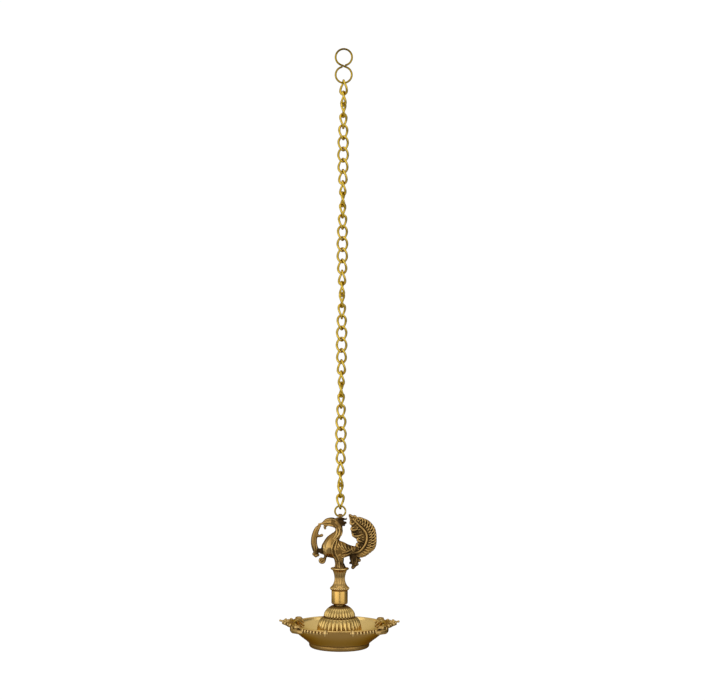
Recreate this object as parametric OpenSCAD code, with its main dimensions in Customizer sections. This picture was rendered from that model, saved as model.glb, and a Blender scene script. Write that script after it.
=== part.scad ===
// Hanging oil lamp: a wire hook, a chain of twisted links and a cast brass lamp with a bird finial.
// The origin is the inside top of the hook's upper loop, +Z is up and the bird looks along -X.

/* [Hook] */
// Diameter of the hook's wire
hook_wire = 1.3; // [0.8:0.1:2]
// Inside diameter of the loop that hangs from the ceiling
hook_upper_inner = 11.4; // [8:0.1:20]
// Inside diameter of the loop that carries the chain
hook_lower_inner = 11.2; // [9:0.1:20]
// Slope of the straight wire between the two loops, in degrees
hook_slope = 23; // [15:1:35]
// Opening left at each end of the bent wire
hook_end_gap = 0.25; // [0.1:0.05:1]

/* [Chain] */
// Number of links
link_count = 38; // [2:1:40]
// Inside length of a link
link_inner_length = 8.92; // [8:0.01:12]
// Outside width of a link
link_outer_width = 9.3; // [8.6:0.1:12]
// Diameter of the links' wire
link_wire = 1.9; // [1.4:0.1:2.1]
// Play where two links bear on each other
link_play = 0.25; // [0.2:0.05:0.5]
// Quarter turns that the chain makes over its length, an odd number
chain_quarter_turns = 9; // [3:2:13]

/* [Ring] */
// Outside diameter of the ring that carries the lamp
ring_outer = 9.6; // [8.8:0.1:12]
// Diameter of the ring's wire
ring_wire = 1.4; // [1:0.1:1.6]
// Slit where the ring was closed
ring_slit = 0.3; // [0.1:0.05:0.6]

/* [Bird] */
// Height from the eye in the crown down to the stem's upper flange
bird_height = 39.3; // [34:0.1:48]
// Thickness of the bird across its body
bird_depth = 11.2; // [9:0.1:16]
// Diameter of the eye for the ring
eye_hole = 3.2; // [3:0.1:4]
// Metal around the eye
eye_wall = 0.9; // [0.7:0.1:1.4]
// Length of the eye along the ring
eye_length = 3.2; // [2.4:0.1:3.8]

/* [Stem] */
// Diameter of the flange that the bird stands on
upper_flange = 14.3; // [12:0.1:18]
// Thickness of that flange
upper_flange_h = 1.6; // [1:0.1:3]
// Diameter of the stem's waist
waist = 8.1; // [7.6:0.1:10]
// Height of the stem between the flanges
waist_h = 13.2; // [8:0.1:20]
// Diameter of the flange over the sleeve
lower_flange = 14.5; // [13.2:0.1:18]
// Thickness of that flange
lower_flange_h = 2.7; // [1.5:0.1:4]

/* [Coupling] */
// Diameter of the sleeve
sleeve = 12.7; // [11:0.1:14]
// Height of the sleeve
sleeve_h = 10.6; // [9.4:0.1:16]
// Rounding of the sleeve's lower edge
sleeve_round = 1.1; // [0.5:0.1:2]
// Diameter of the spigot and of the centre screw
thread = 5; // [4:0.1:5.4]
// Room around the spigot and the screw
thread_clearance = 0.1; // [0.05:0.05:0.2]
// Length of the bird's spigot
spigot_length = 4.5; // [3:0.1:5]
// Length of screw that is held in the sleeve
screw_grip = 4; // [2.5:0.1:4.4]

/* [Dome] */
// Diameter of the collar under the sleeve
collar = 7.2; // [6.8:0.1:8]
// Room between the sleeve and the dome's shoulder
shoulder_room = 1.1; // [0.8:0.1:3]
// Depth of the dimple that the collar rises from
dimple = 1; // [0.4:0.1:3]
// Diameter of the upper tier at its lower edge
upper_tier = 24.4; // [20:0.1:27]
// Height of the upper tier
upper_tier_h = 8.8; // [7:0.1:12]
// Diameter of the lower tier on the dish's floor
lower_tier = 35.8; // [32:0.1:38]
// Height of the lower tier
lower_tier_h = 18; // [14:0.1:22]
// Number of ribs around each tier
rib_count = 30; // [20:1:32]
// Depth of the flutes between the ribs
rib_depth = 0.7; // [0.3:0.1:1.2]
// Metal of the dome's wall
dome_wall = 2; // [1.4:0.1:2.6]

/* [Dish] */
// Diameter of the plain lip
lip = 73.4; // [66:0.1:80]
// Height of the lip over the table
dish_h = 17.8; // [14:0.1:24]
// Wall of the dish
dish_wall = 2.2; // [1.6:0.1:3]
// Diameter of the foot
foot = 47; // [44:0.1:50]
// Height of the foot
foot_h = 3; // [2:0.1:5]
// Rounding of the foot's lower edge
foot_round = 1.4; // [0.5:0.1:1.8]
// Width of the ring that the dish stands on
foot_ring = 4; // [3:0.1:6]
// Depth of the hollow under the foot
foot_hollow = 3.4; // [3.2:0.1:4]
// Metal of the dish's floor
floor_t = 2; // [1.4:0.1:3]

/* [Rim ornament] */
// Length of the dish from tip to tip
tip_span = 95; // [90:0.1:100]
// Height of the palmettes' edge
palmette_h = 5.6; // [3:0.1:6]
// Rise of the palmettes' tips over the lip
tip_rise = 2.6; // [1:0.1:5]
// Diameter of the scroll on each side of a palmette
scroll = 9.6; // [7:0.1:11]
// Diameter of the beads
bead = 2.6; // [2.2:0.1:3]
// Number of beads in each of the four rows
bead_count = 7; // [4:1:8]
// Length of the leaf tips that end the rows
leaf_tip = 4.6; // [3:0.1:6]

/* [Fastening] */
// Diameter of the screw's head
head = 11; // [9:0.1:16]
// Height of the screw's head
head_h = 2; // [1.2:0.1:2.2]
// Diameter of the washer
washer = 14; // [10:0.1:20]
// Thickness of the washer
washer_t = 0.8; // [0.5:0.1:1]

/* [Hidden] */
$fn = 64;
cast_brass = "#7d5f2e";
chain_brass = "#b3922f";
bright_brass = "#c9a063";
wire_sides = 8;
link_rings = 20;
hook_sides = 10;
hook_steps = 26;
thick_sides = 10;
thin_sides = 8;
limb_steps = 3;
stem_steps = 4;
leaf_steps = 4;
tail_steps = 2;
rib_sides = 4;
slope_angle = 0.1;
// How far a cut runs past a face, or one body into another
overlap = 1;

hook_upper_r = (hook_upper_inner + hook_wire) / 2;
hook_lower_r = (hook_lower_inner + hook_wire) / 2;
hook_upper_z = -hook_upper_inner / 2;
hook_lower_z = hook_upper_z - (hook_upper_r + hook_lower_r) / cos(hook_slope);
hook_seat_z = hook_lower_z - hook_lower_r;

link_half_length = (link_inner_length + link_wire) / 2;
link_half_width = (link_outer_width - link_wire) / 2;
link_pitch = link_inner_length - link_play;
link_twist = 90 - 90 * chain_quarter_turns / link_count;
first_link_z = hook_seat_z + (hook_wire + link_wire) / 2 + link_play - link_half_length;
chain_seat_z = first_link_z - (link_count - 1) * link_pitch - link_half_length;

ring_r = (ring_outer - ring_wire) / 2;
ring_z = chain_seat_z + (link_wire + ring_wire) / 2 + link_play - ring_r;
ring_seat_z = ring_z - ring_r;

// The ring's wire climbs this much from the middle of the eye to its mouths.
eye_climb = ring_r - sqrt(ring_r * ring_r - eye_length * eye_length / 4);
eye_z = ring_seat_z - ((eye_hole - ring_wire) / 2 - eye_climb - link_play);
eye_outer = eye_hole + 2 * eye_wall;
// The hole runs on past the eye, so that the ring clears the head.
eye_cut = 3 * eye_length;

upper_flange_z = eye_z - bird_height;
waist_top_z = upper_flange_z - upper_flange_h;
lower_flange_z = waist_top_z - waist_h;
sleeve_top_z = lower_flange_z - lower_flange_h;
sleeve_bottom_z = sleeve_top_z - sleeve_h;
shoulder_z = sleeve_bottom_z - shoulder_room;
dimple_z = shoulder_z - dimple;
upper_edge_z = shoulder_z - upper_tier_h;
floor_z = upper_edge_z - lower_tier_h;
hollow_z = floor_z - floor_t;
foot_z = hollow_z - foot_hollow;
lip_z = foot_z + dish_h;
thread_bore = thread + 2 * thread_clearance;

// Places around the rim, in degrees from the tips
scroll_angle = 30;
row_start_angle = 42;
leaf_angle = 74;
side_steps = 14;
floor_round = 0.4;
dimple_room = 0.2;

function link_name(i) = str("chain_link_", i < 10 ? "0" : "", i);
function unit(v) = v / norm(v);
function mixed(a, b, t) = a + (b - a) * t;
function eased(t) = t * t * (3 - 2 * t);

// Point at share t of the span b to c of a smooth curve through a, b, c and d
function curve_point(a, b, c, d, t) =
    (2 * b + (c - a) * t + (2 * a - 5 * b + 4 * c - d) * t * t + (3 * b - a - 3 * c + d) * t * t * t) / 2;

// Smooth curve through stations, with a number of steps in each span
function smooth(s, steps) = let (last = len(s) - 1) [
    for (i = [0:last - 1], k = [0:steps - 1])
        curve_point(s[max(i - 1, 0)], s[i], s[i + 1], s[min(i + 2, last)], k / steps),
    s[last]
];

// Faces of a tube from one ring of points to the next
function tube_faces(rings, sides, closed) = [
    for (i = [0:rings - (closed ? 1 : 2)], k = [0:sides - 1])
        let (a = i * sides, b = (i + 1) % rings * sides, n = (k + 1) % sides)
            each [[a + k, b + k, b + n], [a + k, b + n, a + n]]
];

// A limb of the casting, from stations [x, z, half width, half depth] in the plane of the bird
module limb(stations, steps, sides) {
    line = smooth(stations, steps);
    last = len(line) - 1;
    points = [
        for (i = [0:last])
            let (c = line[i], a = line[max(i - 1, 0)], b = line[min(i + 1, last)])
            let (along = unit([b[0] - a[0], b[1] - a[1]]))
            for (k = [0:sides - 1])
                let (turn = 360 * (k + 0.5) / sides, w = c[2] * cos(turn))
                    [c[0] + along[1] * w, c[3] * sin(turn), c[1] - along[0] * w]
    ];
    caps = [[for (k = [0:sides - 1]) k], [for (k = [sides - 1:-1:0]) last * sides + k]];
    polyhedron(points, concat(tube_faces(last + 1, sides, false), caps));
}

// Hook: two loops of one wire, joined by a straight run that touches both
function hook_loop(radius, middle_z, touch) =
    // The end of the wire stops short of the straight run.
    let (end_turn = acos(1 - (hook_wire + hook_end_gap) / radius), step = (360 - end_turn) / hook_steps)
        [for (k = [0:hook_steps])
            let (turn = touch + end_turn + k * step)
                [radius * cos(turn), middle_z + radius * sin(turn), hook_wire / 2, hook_wire / 2]];

module hanging_hook() {
    upper = hook_loop(hook_upper_r, hook_upper_z, 270 - hook_slope);
    lower = hook_loop(hook_lower_r, hook_lower_z, 90 - hook_slope);
    back = [for (k = [hook_steps:-1:0]) lower[k]];
    color(chain_brass) limb(concat(upper, back), 1, hook_sides);
}

// Links: an oval of wire whose lower end is turned from its upper end
function link_centre(t) = let (z = link_half_length * cos(t), turn = -link_twist / 2 * cos(t))
    [link_half_width * sin(t) * cos(turn), link_half_width * sin(t) * sin(turn), z];

module twisted_link() {
    points = [
        for (i = [0:link_rings - 1])
            let (t = 360 * i / link_rings, c = link_centre(t))
            let (along = unit(link_centre(t + slope_angle) - link_centre(t - slope_angle)))
            let (out = unit(c - along * (c * along)), side = cross(along, out))
            for (k = [0:wire_sides - 1])
                let (turn = 360 * (k + 0.5) / wire_sides)
                    c + link_wire / 2 * (cos(turn) * out + sin(turn) * side)
    ];
    polyhedron(points, tube_faces(link_rings, wire_sides, true));
}

module chain_link(i) {
    color(chain_brass) translate([0, 0, first_link_z - (i - 1) * link_pitch])
        rotate([0, 0, 90 + link_twist / 2 + (i - 1) * (link_twist - 90)]) twisted_link();
}

module lamp_ring() {
    slit = ring_slit / ring_r * 180 / PI;
    color(cast_brass) translate([0, 0, ring_z]) rotate([90, 0, 0]) rotate([0, 0, slit / 2])
        rotate_extrude(angle = 360 - slit) translate([ring_r, 0]) circle(d = ring_wire);
}

// Bird: stations as drawn, measured from the eye
neck_and_head = [
    [-4, -22, 5.5, 4.5], [-1.8, -16.5, 3.2, 3.2], [-1.2, -12, 2.8, 2.8], [-1.6, -8, 3.2, 3],
    [-3.5, -4.6, 3.6, 3.2], [-7.5, -4, 3.5, 3.2], [-11, -4.6, 2.5, 2.4], [-14.5, -5.4, 1.3, 1.4],
    [-17.8, -5.9, 0.4, 0.5]
];
wattle = [[-9.5, -6, 1.3, 1.4], [-12.3, -8, 1, 1], [-12.9, -9.7, 0.4, 0.5]];
upper_crest = [[-1.8, -2.8, 1.8, 1.8], [2, -2.4, 1.4, 1.4], [5, -1.9, 0.5, 0.6]];
lower_crest = [[-1, -5.6, 1.8, 1.7], [2, -6, 1.3, 1.3], [4.5, -5.9, 0.5, 0.6]];
body = [
    [-15.2, -22.8, 0.9, 0.9], [-14, -23.2, 4.2, 3.6], [-10, -23.8, 7.1, 5], [-4.5, -24.5, 7.6, 5.4],
    [1, -25.3, 6.5, 4.9], [6.5, -26, 4.8, 3.8], [12, -25.5, 3.4, 2.8]
];
wing = [
    [-9.6, -15.6, 0.7, 3], [-6, -19.5, 3.4, 5.4], [-1, -23, 4.6, 5.6], [4, -26.4, 3.6, 5],
    [8.6, -29, 0.8, 2.6]
];
midrib = [
    [9.5, -27.8, 1.6, 2.6], [15.5, -26, 1.7, 2.6], [20.4, -21, 1.6, 2.5], [21.6, -14, 1.4, 2.4],
    [19.2, -8, 1.2, 2.2], [14, -3, 0.8, 1.9]
];
upper_scroll = [
    [16.4, -28.6, 2.2, 2], [14.6, -32.6, 1.9, 1.9], [10.6, -33.8, 1.7, 1.8], [8, -32.6, 1.1, 1.4]
];
lower_scroll = [[13, -32.6, 1.6, 1.6], [11.6, -36, 2.4, 1.8], [9.9, -39.6, 0.8, 1.2]];
vine = [
    [-14.6, -6.6, 1.2, 1.4], [-18, -9, 2, 1.8], [-19.9, -13.5, 2.3, 1.9], [-20.5, -19, 2.4, 1.9],
    [-20.2, -24, 2.3, 1.9], [-18.9, -28.4, 2, 1.8], [-16.8, -31.2, 1.4, 1.6]
];
inner_scroll = [
    [-19.6, -17, 1.3, 1.4], [-16.4, -16.2, 1.1, 1.3], [-14.9, -13.6, 1, 1.2], [-15.3, -11, 0.5, 0.8]
];
curl = [
    [-13.4, -33.75, 0.9, 1.3], [-13.1, -33.1, 0.9, 1.3], [-13.7, -32.4, 0.9, 1.3], [-14.9, -32.5, 0.9, 1.3],
    [-15.7, -33.7, 0.9, 1.3], [-15, -35.3, 0.9, 1.3], [-13, -35.6, 0.9, 1.3], [-11.7, -34, 0.9, 1.3],
    [-11.5, -32, 1, 1.4], [-10.5, -29, 1.4, 1.8]
];
legs = [[-1.6, -29, 4, 3.8], [-1.1, -33.6, 3.1, 3.1], [-0.5, -36.6, 3.4, 3.3], [0, -39.8, 5, 5]];
thick_limbs = [neck_and_head, body, midrib];
thin_limbs = [
    wing, wattle, upper_crest, lower_crest, upper_scroll, lower_scroll, vine, inner_scroll, curl, legs
];

// Outline of the raised tail, as points [x, z]
tail = [
    [5, -25], [9, -29.5], [14.6, -31.2], [18.4, -30.3], [24.3, -25.8], [26.9, -23.9], [28.1, -19.4],
    [28.1, -14.8], [26.9, -11.6], [25, -7.8], [22.3, -4.5], [18.4, -1.6], [14.6, 0], [8.1, 1.9], [7.5, 0.7],
    [8.1, -5.1], [10.1, -10.3], [9.4, -12.9], [12, -15.5], [14.6, -17.4], [13.3, -20], [9.4, -23.9]
];
tail_thickness = 3.2;

// The legs run this far into the flange.
leg_sink = 0.5;
// From the drawn bird to the one of this height, and of this thickness over the wings
across = (bird_height + leg_sink) / -legs[len(legs) - 1][1];
deep = bird_depth / (2 * max([for (s = wing) s[3]]));

module fitted_limb(stations, sides) {
    limb([for (s = stations) [s[0] * across, s[1] * across, s[2] * across, s[3] * deep]], limb_steps, sides);
}

// Stem: shares of the way out from the waist to a flange, and of the height down from the upper flange
stem_above = [[0.55, 0], [0.3, 0.2], [0, 0.52]];
stem_below = [[0.3, 0.82], [0.69, 1]];
flange_bevel = 0.4;
flange_rim = [0.25, 0.75];

function stem_side(shares, flange) = [
    for (s = shares) [mixed(waist, flange, s[0]) / 2, mixed(waist_top_z, lower_flange_z, s[1])]
];

module stem() {
    above = stem_side(stem_above, upper_flange);
    below = stem_side(stem_below, lower_flange);
    base_r = below[len(below) - 1][0];
    rotate_extrude() polygon(concat(
        [[0, upper_flange_z], [upper_flange / 2 - flange_bevel, upper_flange_z]],
        [for (t = flange_rim) [upper_flange / 2, mixed(upper_flange_z, waist_top_z, t)]],
        smooth(concat(above, below), stem_steps),
        [for (t = flange_rim) [lower_flange / 2, mixed(lower_flange_z, sleeve_top_z, t)]],
        [[base_r, sleeve_top_z], [thread / 2, sleeve_top_z],
         [thread / 2, sleeve_top_z - spigot_length], [0, sleeve_top_z - spigot_length]]
    ));
}

module bird_finial() {
    color(cast_brass) difference() {
        union() {
            stem();
            translate([0, 0, eye_z]) {
                rotate([0, 90, 0]) cylinder(d = eye_outer, h = eye_length, center = true);
                for (s = thick_limbs) fitted_limb(s, thick_sides);
                for (s = thin_limbs) fitted_limb(s, thin_sides);
                rotate([90, 0, 0]) linear_extrude(tail_thickness * deep, center = true)
                    polygon(smooth(tail, tail_steps) * across);
            }
        }
        translate([0, 0, eye_z]) rotate([0, 90, 0]) cylinder(d = eye_hole, h = eye_cut, center = true);
    }
}

module coupling_sleeve() {
    color(bright_brass) difference() {
        rotate_extrude() {
            translate([0, sleeve_bottom_z + sleeve_round]) square([sleeve / 2, sleeve_h - sleeve_round]);
            translate([0, sleeve_bottom_z]) square([sleeve / 2 - sleeve_round, 2 * sleeve_round]);
            translate([sleeve / 2 - sleeve_round, sleeve_bottom_z + sleeve_round]) circle(r = sleeve_round);
        }
        translate([0, 0, sleeve_bottom_z - overlap]) cylinder(d = thread_bore, h = sleeve_h + 2 * overlap);
    }
}

// Dome: a ribbed body from stations [radius, height, depth of the flutes], from the top down
module ribbed_body(stations) {
    sides = rib_sides * rib_count;
    last = len(stations) - 1;
    points = [
        for (s = stations, k = [0:sides - 1])
            let (turn = 360 * k / sides, r = s[0] - s[2] * (1 - abs(cos(rib_count * turn / 2))))
                [r * cos(turn), r * sin(turn), s[1]]
    ];
    caps = [[for (k = [sides - 1:-1:0]) k], [for (k = [0:sides - 1]) last * sides + k]];
    faces = [for (f = tube_faces(last + 1, sides, false)) [f[2], f[1], f[0]]];
    polyhedron(points, concat(faces, caps));
}

// Shares of the way out, of the way down and of the flutes' depth, along each part of the dome
dimple_shape = [[0, 0, 0], [0.4, 0.68, 0.5]];
upper_shape = [[0, 0, 1], [0.4, 0.14, 1], [0.75, 0.42, 1], [1, 0.86, 1]];
lower_shape = [[0.1, 0, 0], [0.42, 0.13, 1], [0.68, 0.3, 1], [0.88, 0.57, 1], [1, 1, 1]];
shoulder_share = 0.38;
hollow_share = 0.6;

function placed(shape, from, to) = [
    for (s = shape) [mixed(from[0], to[0], s[0]), mixed(from[1], to[1], s[1]), rib_depth * s[2]]
];

module lotus_dome() {
    upper_r = upper_tier / 2;
    lower_r = lower_tier / 2;
    shoulder_r = mixed(collar / 2, upper_r, shoulder_share);
    wall = dome_wall + rib_depth;
    color(cast_brass) difference() {
        union() {
            translate([0, 0, dimple_z - overlap])
                cylinder(d = collar, h = sleeve_bottom_z - dimple_z + overlap);
            ribbed_body(concat(
                placed(dimple_shape, [collar / 2 + dimple_room, dimple_z], [shoulder_r, shoulder_z]),
                placed(upper_shape, [shoulder_r, shoulder_z], [upper_r, upper_edge_z]),
                [[upper_r - rib_depth, upper_edge_z, 0]],
                placed(lower_shape, [upper_r, upper_edge_z], [lower_r, floor_z])
            ));
        }
        rotate_extrude() polygon([
            [0, floor_z - overlap], [lower_r - wall, floor_z - overlap],
            [lower_r - wall, mixed(upper_edge_z, floor_z, hollow_share)],
            [upper_r - wall, upper_edge_z - dome_wall], [shoulder_r, dimple_z - dome_wall],
            [0, dimple_z - dome_wall]
        ]);
        translate([0, 0, floor_z]) cylinder(d = thread_bore, h = sleeve_bottom_z - floor_z + overlap);
    }
}

// Dish: its side swings out from the foot and turns up to the lip
flare_power = 0.75;
slope_share = 0.01;
function dish_side(t) = [mixed(foot, lip, eased(pow(t, flare_power))) / 2, mixed(foot_z + foot_h, lip_z, t)];
function dish_inside(t) = let (d = dish_side(min(t + slope_share, 1)) - dish_side(max(t - slope_share, 0)))
    dish_side(t) + dish_wall * unit([-d[1], d[0]]);

module dish_outside() {
    middle = [foot / 2 - foot_round, foot_z + foot_round];
    corner = [for (a = [-90:15:0]) middle + foot_round * [cos(a), sin(a)]];
    side = [for (k = [0:side_steps]) dish_side(k / side_steps)];
    rotate_extrude() polygon(concat([[0, foot_z]], corner, side, [[0, lip_z]]));
}

module dish_hollow() {
    all_side = [for (k = [0:side_steps]) dish_inside(k / side_steps)];
    side = [for (p = all_side) if (p[1] > floor_z + floor_round) p];
    top = lip_z + palmette_h + tip_rise;
    rotate_extrude() polygon(concat(
        [[0, floor_z], [side[0][0] - (side[0][1] - floor_z), floor_z]], side,
        [[lip / 2 - dish_wall, top], [0, top]]
    ));
}

// Palmette: half of its outline, in shares of its reach beyond the lip, from a side to just before the tip
leaf_edge = [[-0.35, 1.2], [0.15, 0.95], [0.42, 0.55], [0.62, 0.22]];
leaf_share = 0.6;
leaf_drop = 0.3;
scroll_share = 0.22;
// Scroll: its side, in shares of half its width and of the palmettes' height
scroll_shape = [[0, -0.5], [0.6, -0.5], [1, -0.1], [1, 0.39], [0.4, 0.39], [0.4, 0.5], [0, 0.5]];

module palmette() {
    reach = (tip_span - lip) / 2;
    tilt = atan(tip_rise / reach);
    edge = smooth(concat(leaf_edge * reach, [[reach / cos(tilt), 0]]), leaf_steps);
    other = [for (i = [len(edge) - 2:-1:0]) [edge[i][0], -edge[i][1]]];
    leaf_h = palmette_h * leaf_share;
    translate([lip / 2, 0, lip_z - leaf_drop]) rotate([0, -tilt, 0]) translate([0, 0, -leaf_h])
        linear_extrude(leaf_h) polygon(concat(edge, other));
    for (s = [-1, 1]) rotate([0, 0, s * scroll_angle])
        translate([lip / 2 + scroll_share * scroll, 0, lip_z])
            rotate_extrude() polygon([for (s = scroll_shape) [s[0] * scroll / 2, s[1] * palmette_h]]);
}

bead_share = 0.3;
bead_spread = 1.1;
leaf_end_share = 0.2;
leaf_drop_share = 0.55;

module rim_row() {
    row_r = lip / 2 + bead_share * bead;
    step_angle = bead_spread * bead / row_r * 180 / PI;
    for (k = [0:bead_count - 1]) rotate([0, 0, row_start_angle + k * step_angle])
        translate([row_r, 0, lip_z - bead / 2]) sphere(d = bead);
    leaf_z = lip_z - leaf_drop_share * leaf_tip;
    rotate([0, 0, leaf_angle]) translate([lip / 2 - overlap, 0, leaf_z]) rotate([0, 90, 0])
        cylinder(d1 = leaf_tip, d2 = leaf_tip * leaf_end_share, h = leaf_tip + overlap);
}

module oil_dish() {
    color(cast_brass) difference() {
        union() {
            dish_outside();
            for (turn = [0, 180]) rotate([0, 0, turn]) {
                palmette();
                rim_row();
                mirror([0, 1, 0]) rim_row();
            }
        }
        dish_hollow();
        translate([0, 0, foot_z - overlap]) cylinder(d = foot - 2 * foot_ring, h = foot_hollow + overlap);
        translate([0, 0, hollow_z - overlap]) cylinder(d = thread_bore, h = floor_t + 2 * overlap);
    }
}

module centre_screw() {
    head_z = hollow_z - washer_t;
    color(bright_brass) {
        translate([0, 0, head_z - head_h]) cylinder(d = head, h = head_h);
        translate([0, 0, head_z]) cylinder(d = thread, h = sleeve_bottom_z + screw_grip - head_z);
    }
}

module seal_washer() {
    color(bright_brass) translate([0, 0, hollow_z - washer_t]) difference() {
        cylinder(d = washer, h = washer_t);
        translate([0, 0, -overlap]) cylinder(d = thread_bore, h = washer_t + 2 * overlap);
    }
}

hanging_hook();
for (i = [1:link_count]) chain_link(i);
lamp_ring();
bird_finial();
coupling_sleeve();
lotus_dome();
oil_dish();
centre_screw();
seal_washer();
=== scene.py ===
import math

import bpy
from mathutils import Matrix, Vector


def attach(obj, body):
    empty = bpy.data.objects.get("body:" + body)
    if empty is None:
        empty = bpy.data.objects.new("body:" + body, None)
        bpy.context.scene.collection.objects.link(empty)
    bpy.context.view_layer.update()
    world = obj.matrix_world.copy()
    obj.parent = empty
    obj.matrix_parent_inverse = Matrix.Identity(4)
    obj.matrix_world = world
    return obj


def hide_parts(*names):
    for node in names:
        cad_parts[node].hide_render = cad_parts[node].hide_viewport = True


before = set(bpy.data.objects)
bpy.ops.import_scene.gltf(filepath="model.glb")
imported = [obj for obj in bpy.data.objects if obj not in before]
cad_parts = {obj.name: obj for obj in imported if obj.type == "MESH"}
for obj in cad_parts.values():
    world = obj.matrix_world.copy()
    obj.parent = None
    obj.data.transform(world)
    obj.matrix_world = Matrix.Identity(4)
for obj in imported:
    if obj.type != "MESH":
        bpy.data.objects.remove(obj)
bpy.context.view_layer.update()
scene = bpy.context.scene
scene.view_settings.view_transform = "Standard"

# Sizes of the lamp in millimetres, with heights from the inside of the hook's top loop
MM = 0.001
# The hook's wire is drawn thicker than its solid, with its ends against the straight run
HOOK_WIRE_R = 0.76
HOOK_END_ABOVE_RUN = 0.95
HOOK_UPPER = Vector((0, 0, -5.7))
HOOK_LOWER = Vector((0, 0, -19.388))
HOOK_UPPER_R = 6.35
HOOK_LOWER_R = 6.25
HOOK_SLOPE = math.radians(23)
LINK_WIRE_R = 0.95
LINK_HALF_LENGTH = 5.41
LINK_HALF_WIDTH = 3.7
LINK_TWIST_DEGREES = 68.684
LINK_PITCH = 8.67
LINK_FIRST_Z = -29.198
LINKS = 38
RING_Z = -357.598
RING_R = 4.1
RING_WIRE_R = 0.7
RING_SLIT = 0.3
EYE_Z = -362.023
FLANGE_Z = -401.323
SLEEVE_TOP = -418.823
SLEEVE_BOTTOM = -429.423
DISH_FLOOR_Z = -457.323
FOOT_Z = -462.723
LIP_Z = -444.923
LIP_R = 36.7
BORE_R = 2.6


# Modelling: pieces are shaped in millimetres and brought to metres when they are kept
def deselect():
    bpy.ops.object.select_all(action="DESELECT")


def pick(piece):
    """Selects one piece and nothing else."""
    deselect()
    piece.select_set(True)
    bpy.context.view_layer.objects.active = piece


def edit():
    bpy.ops.object.mode_set(mode="EDIT")


def leave():
    bpy.ops.object.mode_set(mode="OBJECT")


def apply_place():
    bpy.ops.object.transform_apply(location=True, rotation=True, scale=True)


MERGE_GAP = 0.001
FINE_MERGE_GAP = 0.0001


def close_up(gap=MERGE_GAP):
    """Merges doubles, fills open ends and turns all faces outwards."""
    edit()
    bpy.ops.mesh.select_all(action="SELECT")
    bpy.ops.mesh.remove_doubles(threshold=gap)
    bpy.ops.mesh.fill_holes(sides=0)
    bpy.ops.mesh.select_all(action="SELECT")
    bpy.ops.mesh.normals_make_consistent(inside=False)
    leave()


def join(pieces):
    deselect()
    for piece in pieces:
        piece.select_set(True)
    bpy.context.view_layer.objects.active = pieces[0]
    bpy.ops.object.join()
    return bpy.context.object


def copy(piece):
    pick(piece)
    bpy.ops.object.duplicate()
    return bpy.context.object


def modified(piece, kind, settings):
    """Adds a modifier with its settings and applies it."""
    pick(piece)
    modifier = piece.modifiers.new(kind.lower(), kind)
    for name, value in settings.items():
        setattr(modifier, name, value)
    bpy.ops.object.modifier_apply(modifier=modifier.name)
    return piece


def blended(piece, voxel, rounds):
    """Makes one skin of joined pieces and softens it."""
    modified(piece, "REMESH", {"mode": "VOXEL", "voxel_size": voxel})
    return modified(piece, "SMOOTH", {"factor": 0.5, "iterations": rounds})


SMOOTH_ANGLE = math.radians(50)


def keep(piece, name, body, finish, nodes=()):
    """Brings a piece to metres and to the origin, and hangs it on its body."""
    pick(piece)
    piece.scale = (MM, MM, MM)
    piece.location = piece.location * MM
    apply_place()
    bpy.ops.object.shade_smooth_by_angle(angle=SMOOTH_ANGLE)
    piece.name = name
    piece.data.name = name
    piece.data.materials.clear()
    piece.data.materials.append(finish)
    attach(piece, body)
    if nodes:
        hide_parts(*nodes)


def wire_section(middle, along, radius, sides):
    """Starts a wire with its round section, left in edit mode with the section selected."""
    deselect()
    bpy.ops.mesh.primitive_circle_add(vertices=sides, radius=radius, fill_type="NGON")
    wire = bpy.context.object
    wire.location = middle
    wire.rotation_euler = Vector(along).to_track_quat("Z", "Y").to_euler()
    apply_place()
    edit()
    bpy.ops.mesh.select_all(action="SELECT")
    return wire


def turned(profile, steps):
    """Turns a profile of radius and height about the axis."""
    deselect()
    bpy.ops.mesh.primitive_plane_add(size=1)
    piece = bpy.context.object
    edit()
    bpy.ops.mesh.select_all(action="SELECT")
    bpy.ops.mesh.merge(type="CENTER")
    bpy.ops.transform.translate(value=(profile[0][0], 0, profile[0][1]))
    for start, end in zip(profile, profile[1:]):
        step = (end[0] - start[0], 0, end[1] - start[1])
        bpy.ops.mesh.extrude_region_move(TRANSFORM_OT_translate={"value": step})
    bpy.ops.mesh.select_all(action="SELECT")
    bpy.ops.mesh.spin(steps=steps, angle=math.tau, center=(0, 0, 0), axis=(0, 0, 1))
    leave()
    close_up()
    return piece


def rounding(middle, reach, rise, angles):
    """Points of a rounded corner in a profile, by its middle, half width, half height and angles."""
    points = []
    for angle in angles:
        turn = math.radians(angle)
        points.append((middle[0] + reach * math.cos(turn), middle[1] + rise * math.sin(turn)))
    return points


def cast(paths, around=4, along=5):
    """Rounded limbs, each through its own stations of x, y, z and radius."""
    deselect()
    bpy.ops.curve.primitive_bezier_curve_add()
    shape = bpy.context.object.data
    shape.dimensions = "3D"
    shape.bevel_depth = 1
    shape.bevel_resolution = around
    shape.resolution_u = along
    shape.use_fill_caps = True
    shape.splines.clear()
    for path in paths:
        spline = shape.splines.new("BEZIER")
        spline.bezier_points.add(len(path) - 1)
        for point, station in zip(spline.bezier_points, path):
            point.handle_left_type = "AUTO"
            point.handle_right_type = "AUTO"
            point.co = station[:3]
            point.radius = station[3]
    bpy.ops.object.convert(target="MESH")
    return bpy.context.object


def limb(stations, depth=1.0):
    """A limb of the bird through stations of x, z and half width, flattened or thickened by its depth."""
    piece = cast([[(x, 0, z, half) for x, z, half in stations]])
    piece.scale = (1, depth, 1)
    apply_place()
    return piece


PLATE_EDGE = 0.3


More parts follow.
